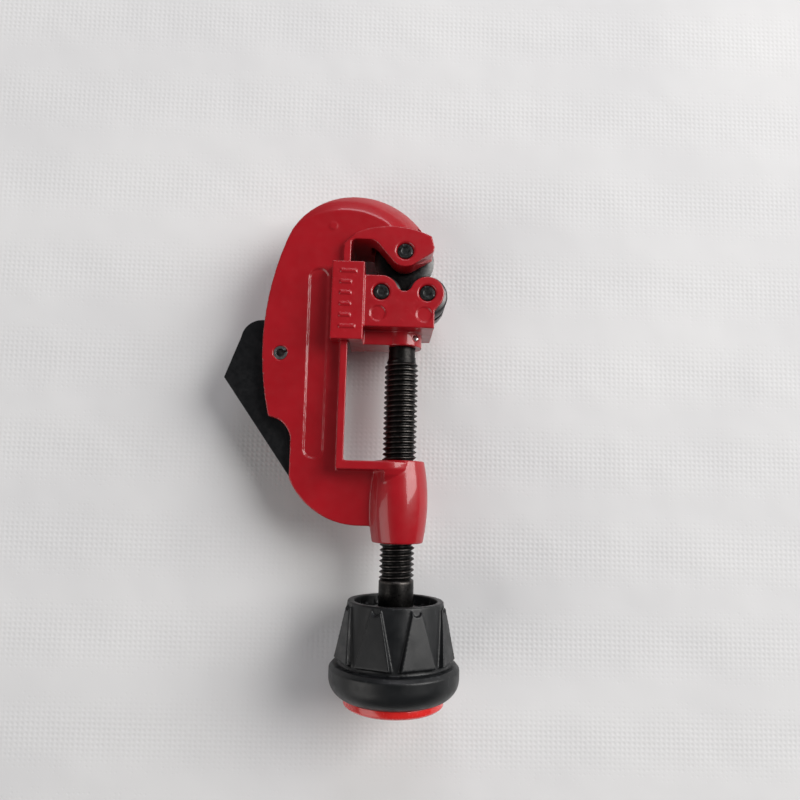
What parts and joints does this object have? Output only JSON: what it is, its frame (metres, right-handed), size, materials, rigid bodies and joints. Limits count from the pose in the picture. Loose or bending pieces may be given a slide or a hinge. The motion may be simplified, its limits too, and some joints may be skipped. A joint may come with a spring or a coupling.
{
  "type": "pipe cutter",
  "caption": "Screw-fed pipe cutter: red cast C-frame with a cutting wheel, a roller slide block, a black knob with a red cap and a fold-out reamer.",
  "frame": {"origin": "the cutting point: the point of the cutting wheel's edge nearest the knob, on the axis of the feed screw, in the middle plane of the frame", "axes": "+X towards the open side of the frame, +Y along the feed screw from the knob to the hook, +Z along the tube being cut, out of the face that looks up when the tool lies on its side"},
  "size_m": [0.0696, 0.1443, 0.036],
  "materials": {
    "red_enamel": "gloss baked enamel on die-cast metal",
    "wheel_steel": "blackened tool steel with a bright ground edge",
    "roller_steel": "blackened steel",
    "pin_steel": "dark oiled steel",
    "screw_steel": "black oxide",
    "blade_steel": "black oxide with a ground edge",
    "plated_steel": "zinc plated",
    "black_plastic": "moulded satin plastic",
    "red_plastic": "gloss moulded plastic"
  },
  "bodies": {
    "c_frame": {"frame": "red_enamel", "wheel_pin": "pin_steel", "reamer_pin": "pin_steel", "reamer_washer": "plated_steel"},
    "cutting_wheel": {"cutter_wheel": "wheel_steel"},
    "carriage": {"slide_block": "red_enamel", "roller_pin_left": "pin_steel", "roller_pin_right": "pin_steel", "keeper_pin": "plated_steel"},
    "left_roller": {"roller_left": "roller_steel"},
    "right_roller": {"roller_right": "roller_steel"},
    "spindle": {"feed_screw": "screw_steel", "knob": "black_plastic", "knob_washer": "plated_steel", "knob_screw": "plated_steel"},
    "cap": {"knob_cap": "red_plastic", "spare_cutter_wheel": "wheel_steel"},
    "reamer": {"reamer_blade": "blade_steel"}
  },
  "joints": [
    {"name": "block_slide", "type": "slide", "parent": "c_frame", "child": "carriage", "axis": [0, -1, 0], "range_m": [0, 0.0316]},
    {"name": "knob_turn", "type": "hinge", "parent": "carriage", "child": "spindle", "pos_m": [0, -0.06, 0], "axis": [0, -1, 0], "range_deg": [0, 7583]},
    {"name": "wheel_spin", "type": "hinge", "parent": "c_frame", "child": "cutting_wheel", "pos_m": [0, 0.009, 0], "axis": [0, 0, 1], "continuous": true},
    {"name": "left_roller_spin", "type": "hinge", "parent": "carriage", "child": "left_roller", "pos_m": [-0.0066, -0.00333, 0], "axis": [0, 0, 1], "continuous": true},
    {"name": "right_roller_spin", "type": "hinge", "parent": "carriage", "child": "right_roller", "pos_m": [0.0066, -0.00333, 0], "axis": [0, 0, 1], "continuous": true},
    {"name": "reamer_fold", "type": "hinge", "parent": "c_frame", "child": "reamer", "pos_m": [-0.0349, -0.0212, 0], "axis": [0, 0, -1], "range_deg": [0, 100]},
    {"name": "cap_pull", "type": "slide", "parent": "spindle", "child": "cap", "axis": [0, -1, 0], "range_m": [0, 0.02]}
  ],
  "couplings": [
    {"joint": "block_slide", "follows": "knob_turn", "m_per_rad": 0.00023873}
  ]
}
